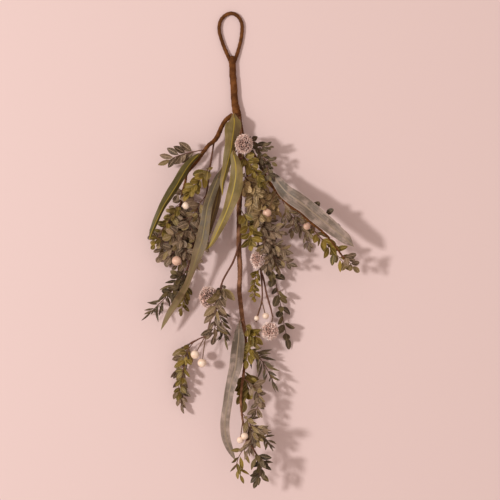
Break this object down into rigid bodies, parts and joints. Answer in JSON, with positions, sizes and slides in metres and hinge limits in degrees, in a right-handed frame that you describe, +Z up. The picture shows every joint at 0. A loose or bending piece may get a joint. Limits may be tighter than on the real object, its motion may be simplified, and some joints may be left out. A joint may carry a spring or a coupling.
{
  "type": "artificial mistletoe bunch",
  "caption": "Hanging bunch of artificial mistletoe and eucalyptus with a taped loop, leafy sprigs, long leaves, berries and flower heads, lying on its back",
  "frame": {"origin": "middle of the bunch's outline seen from above, on the surface that it lies on", "axes": "+Y runs along the bunch towards its hanging loop, +Z points up from the surface, +X is to the right seen from above"},
  "size_m": [0.3268, 0.7162, 0.0726],
  "materials": {
    "bark_tape": "matte wrapped tape",
    "red_bark": "matte",
    "grey_leaf": "matte, frosted",
    "dark_leaf": "matte",
    "yellow_leaf": "matte",
    "olive_leaf": "matte with a lighter midrib",
    "sage_leaf": "matte, streaked",
    "cream_berry": "satin",
    "dusky_floret": "matte with a frosted glitter"
  },
  "bodies": {
    "root": {"hanging_loop": "bark_tape", "branch_left": "bark_tape", "branch_left_inner": "red_bark", "branch_centre": "bark_tape", "branch_right": "bark_tape", "branch_middle": "red_bark", "branch_side": "red_bark", "ribbon_left_outer": "olive_leaf", "ribbon_top": "olive_leaf", "ribbon_middle": "olive_leaf", "ribbon_right": "sage_leaf", "ribbon_low": "sage_leaf", "ribbon_left_inner": "sage_leaf", "ribbon_behind": "olive_leaf", "head_top": "dusky_floret", "head_left": "dusky_floret", "head_middle": "dusky_floret", "head_low": "dusky_floret", "berry_left_upper": "cream_berry", "berry_left_lower": "cream_berry", "berry_crown": "cream_berry", "berry_right": "cream_berry", "berries_middle": "cream_berry", "berries_side": "cream_berry", "berries_low": "cream_berry", "sprig_upper_left": "grey_leaf", "sprig_left_yellow": "yellow_leaf", "sprig_left_back": "grey_leaf", "sprig_left_middle": "grey_leaf", "sprig_left_low": "grey_leaf", "sprig_left_front": "yellow_leaf", "sprig_left_outer": "grey_leaf", "sprig_left_narrow": "dark_leaf", "sprig_left_tail": "yellow_leaf", "sprig_left_dark": "dark_leaf", "sprig_crown_dark": "dark_leaf", "sprig_crown_yellow": "yellow_leaf", "sprig_crown_grey": "grey_leaf", "sprig_crown_back": "grey_leaf", "sprig_centre_yellow": "yellow_leaf", "sprig_column": "grey_leaf", "sprig_column_low": "dark_leaf", "sprig_column_front": "grey_leaf", "sprig_middle_yellow": "yellow_leaf", "sprig_right_under": "grey_leaf", "sprig_right_upper": "dark_leaf", "sprig_right_yellow": "yellow_leaf", "sprig_right_tip": "grey_leaf", "sprig_side_grey": "grey_leaf", "sprig_side_narrow": "dark_leaf", "sprig_lower_left": "grey_leaf", "sprig_lower_left_yellow": "yellow_leaf", "sprig_lower_yellow": "yellow_leaf", "sprig_lower_narrow": "dark_leaf", "sprig_lower_broad": "yellow_leaf", "sprig_lower_grey": "grey_leaf", "sprig_bottom_grey": "grey_leaf", "sprig_bottom_narrow": "dark_leaf", "sprig_bottom_yellow": "yellow_leaf", "sprig_bottom_tip": "dark_leaf"}
  },
  "joints": []
}
